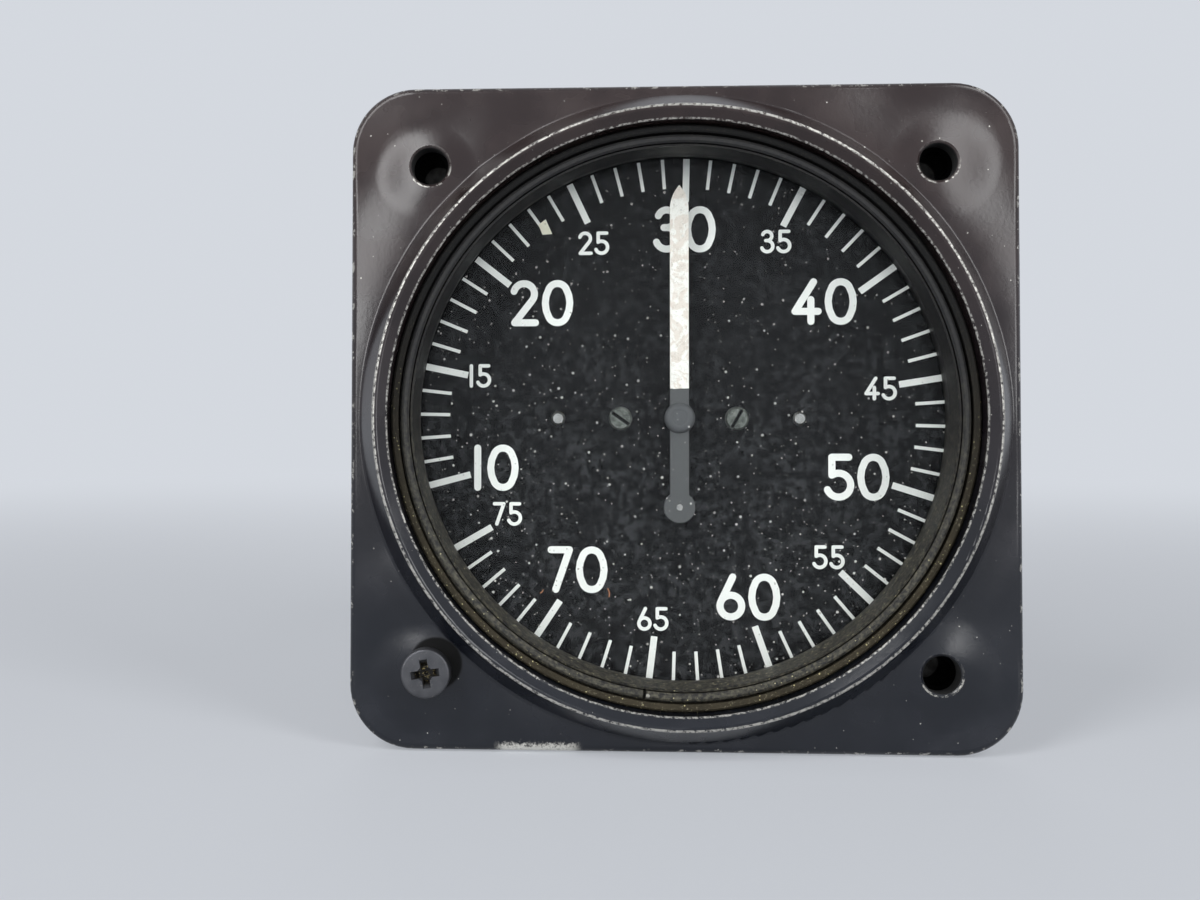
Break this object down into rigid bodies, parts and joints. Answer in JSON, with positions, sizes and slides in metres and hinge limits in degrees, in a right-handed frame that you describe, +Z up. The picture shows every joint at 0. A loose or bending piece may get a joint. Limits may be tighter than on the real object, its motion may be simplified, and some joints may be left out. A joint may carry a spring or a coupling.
{
  "type": "manifold pressure gauge",
  "caption": "Square-flanged panel instrument with a round glazed dial, one pointer, a geared capsule movement and a rear pressure inlet.",
  "frame": {"origin": "on the barrel's axis, in the plane of the flange's rear face", "axes": "+X right and +Z up as seen from the front, +Y from the dial to the rear along the barrel"},
  "size_m": [0.0826, 0.0877, 0.0826],
  "materials": {
    "case_paint": "satin black paint on cast aluminium, worn to metal along edges",
    "plated_steel": "dark oxide on steel, dusty",
    "black_screw": "black oxide, worn",
    "window_glass": "flat clear glass, dusty",
    "black_rubber": "matte",
    "ring_lacquer": "black lacquer, worn bright along the edges",
    "packing_cork": "aged olive-brown sealing ring, dirty",
    "dial_black": "matte black with white print",
    "bright_steel": "turned steel",
    "brass": "turned brass",
    "bronze": "spring bronze",
    "pointer_paint": "cream paint on the blade, dark grey from the blade's root to the tail",
    "pointer_grey": "dark grey paint"
  },
  "bodies": {
    "case": {"case_body": "case_paint", "captive_nuts": "plated_steel", "mounting_screw": "black_screw", "cover_glass": "window_glass", "glass_gasket": "black_rubber", "glass_clamp_ring": "ring_lacquer", "retaining_ring": "ring_lacquer", "glass_packing": "packing_cork", "dial_spacer_ring": "ring_lacquer", "dial_plate": "dial_black", "dial_screws": "black_screw", "dial_pins": "bright_steel", "dial_posts": "brass", "movement_front_plate": "brass", "movement_rear_plate": "brass", "movement_pillars": "brass", "front_pillar_screws": "bright_steel", "rear_pillar_screws": "bright_steel", "movement_screws": "bright_steel", "staff_bushes": "bronze", "sector_bushes": "bronze", "sector_stop_pins": "bright_steel", "hairspring": "bronze", "hairspring_stud": "brass", "capsule_bracket": "bright_steel", "bracket_screws": "bright_steel", "capsule_stem_nuts": "brass", "pressure_tube": "bronze", "pressure_fitting": "brass", "fitting_seal": "black_rubber", "fitting_nut": "brass", "inlet_restrictor": "brass", "rear_cover": "case_paint", "rear_cover_gasket": "black_rubber", "rear_cover_screws": "black_screw", "aneroid_capsule": "bronze", "pressure_capsule": "bronze"},
    "pointer": {"pinion_staff": "bright_steel", "hairspring_collet": "brass", "pointer_hub": "brass", "pointer_hand": "pointer_paint", "pointer_hub_cap": "pointer_grey", "pointer_tail_weight": "pointer_grey", "pointer_tail_rivet": "bright_steel"},
    "sector": {"sector_gear": "brass", "sector_arbor": "bright_steel", "sector_weight": "brass"},
    "capsule_drive": {"drive_post": "brass", "drive_pin": "bright_steel"}
  },
  "joints": [
    {"name": "sector_swing", "type": "hinge", "parent": "case", "child": "sector", "pos_m": [-0.0231, 0.0152, 0], "axis": [0, 1, 0], "range_deg": [-24, 10.5], "stiffness_Nm_per_rad": 0.2},
    {"name": "pointer_turn", "type": "hinge", "parent": "case", "child": "pointer", "pos_m": [0, 0.0152, 0], "axis": [0, 1, 0], "range_deg": [-105, 240]},
    {"name": "capsule_travel", "type": "slide", "parent": "case", "child": "capsule_drive", "axis": [0, 0, 1], "range_m": [-0.00152, 0.00346], "deforming": ["pressure_capsule", "aneroid_capsule"]}
  ],
  "couplings": [
    {"joint": "pointer_turn", "follows": "sector_swing", "ratio": -10},
    {"joint": "capsule_travel", "follows": "sector_swing", "m_per_rad": -0.00825}
  ]
}
